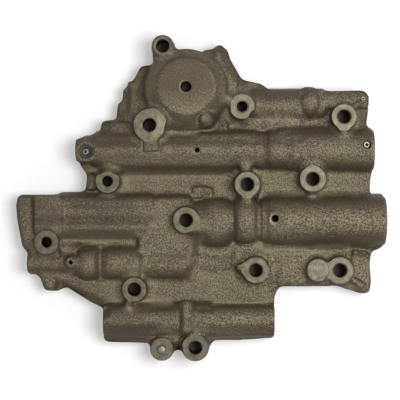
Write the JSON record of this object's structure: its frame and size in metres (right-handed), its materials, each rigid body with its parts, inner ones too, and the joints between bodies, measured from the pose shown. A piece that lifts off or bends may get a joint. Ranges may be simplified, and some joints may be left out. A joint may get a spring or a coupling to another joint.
{
  "type": "transmission valve body",
  "caption": "Cast-iron hydraulic control valve body: ridged casting with bolt bosses and an accumulator dome, holding sliding shift valves, springs, plugs and a piston.",
  "frame": {"origin": "centre of the machined face's outline, on that face", "axes": "+Z out of the cast side, +X along the valve bores to the shift valve mouths, +Y to the accumulator dome"},
  "size_m": [0.222, 0.1958, 0.0294],
  "materials": {
    "cast_iron": "rough sand-cast, oily grey",
    "valve_steel": "ground",
    "spring_steel": "drawn wire",
    "plug_steel": "turned",
    "pin_steel": "ground",
    "piston_aluminium": "turned",
    "ring_iron": "dark"
  },
  "bodies": {
    "body": {"casting": "cast_iron", "locating_dowel": "pin_steel", "shift_12_spring": "spring_steel", "shift_12_bushing": "plug_steel", "shift_12_retaining_pin": "pin_steel", "shift_23_intermediate_spring": "spring_steel", "shift_23_spring": "spring_steel", "shift_23_bushing": "plug_steel", "shift_23_retaining_pin": "pin_steel", "valve_32_spring": "spring_steel", "valve_32_spacer": "valve_steel", "valve_32_plug": "plug_steel", "valve_32_retaining_pin": "pin_steel", "detent_spring": "spring_steel", "detent_plug": "plug_steel", "detent_retaining_pin": "pin_steel", "accumulator_valve_spring": "spring_steel", "accumulator_valve_plug": "plug_steel", "accumulator_valve_retaining_pin": "pin_steel", "accumulator_spring": "spring_steel", "accumulator_pin": "pin_steel", "accumulator_clip": "pin_steel"},
    "manual_valve": {"manual_valve": "valve_steel"},
    "shift_12_valve": {"shift_12_valve": "valve_steel"},
    "shift_12_detent_valve": {"shift_12_detent_valve": "valve_steel"},
    "shift_12_regulator_valve": {"shift_12_regulator_valve": "valve_steel"},
    "shift_23_valve": {"shift_23_valve": "valve_steel"},
    "shift_23_modulator_valve": {"shift_23_modulator_valve": "valve_steel"},
    "valve_32": {"valve_32": "valve_steel"},
    "detent_valve": {"detent_valve": "valve_steel"},
    "detent_regulator_valve": {"detent_regulator_valve": "valve_steel"},
    "accumulator_valve": {"accumulator_valve": "valve_steel"},
    "accumulator_piston": {"accumulator_piston": "piston_aluminium", "accumulator_piston_ring": "ring_iron"}
  },
  "joints": [
    {"name": "manual_valve_slide", "type": "slide", "parent": "body", "child": "manual_valve", "axis": [1, 0, 0], "range_m": [-0.012, 0.013]},
    {"name": "shift_12_slide", "type": "slide", "parent": "body", "child": "shift_12_valve", "axis": [1, 0, 0], "range_m": [0, 0.008], "stiffness_N_per_m": 600, "springref_m": -0.006, "deforming": ["shift_12_spring"]},
    {"name": "shift_12_detent_slide", "type": "slide", "parent": "body", "child": "shift_12_detent_valve", "axis": [1, 0, 0], "range_m": [0, 0.008], "deforming": ["shift_12_spring"]},
    {"name": "shift_12_regulator_slide", "type": "slide", "parent": "body", "child": "shift_12_regulator_valve", "axis": [1, 0, 0], "range_m": [0, 0.003], "stiffness_N_per_m": 400, "springref_m": -0.006, "deforming": ["shift_12_spring"]},
    {"name": "shift_23_slide", "type": "slide", "parent": "body", "child": "shift_23_valve", "axis": [1, 0, 0], "range_m": [0, 0.004], "stiffness_N_per_m": 600, "springref_m": -0.005, "deforming": ["shift_23_intermediate_spring"]},
    {"name": "shift_23_modulator_slide", "type": "slide", "parent": "body", "child": "shift_23_modulator_valve", "axis": [1, 0, 0], "range_m": [0, 0.003], "stiffness_N_per_m": 900, "springref_m": -0.003, "deforming": ["shift_23_spring", "shift_23_intermediate_spring"]},
    {"name": "valve_32_slide", "type": "slide", "parent": "body", "child": "valve_32", "axis": [1, 0, 0], "range_m": [0, 0.004], "stiffness_N_per_m": 300, "springref_m": -0.006, "deforming": ["valve_32_spring"]},
    {"name": "detent_slide", "type": "slide", "parent": "body", "child": "detent_valve", "axis": [-1, 0, 0], "range_m": [0, 0.006], "stiffness_N_per_m": 500, "springref_m": -0.006, "deforming": ["detent_spring"]},
    {"name": "detent_regulator_slide", "type": "slide", "parent": "body", "child": "detent_regulator_valve", "axis": [-1, 0, 0], "range_m": [0, 0.006], "deforming": ["detent_spring"]},
    {"name": "accumulator_valve_slide", "type": "slide", "parent": "body", "child": "accumulator_valve", "axis": [-1, 0, 0], "range_m": [0, 0.006], "stiffness_N_per_m": 400, "springref_m": -0.006, "deforming": ["accumulator_valve_spring"]},
    {"name": "accumulator_piston_slide", "type": "slide", "parent": "body", "child": "accumulator_piston", "axis": [0, 0, 1], "range_m": [0, 0.0055], "stiffness_N_per_m": 2500, "springref_m": -0.004, "deforming": ["accumulator_spring"]}
  ],
  "couplings": [
    {"joint": "shift_12_detent_slide", "follows": "shift_12_slide", "ratio": 1},
    {"joint": "detent_regulator_slide", "follows": "detent_slide", "ratio": 1}
  ]
}
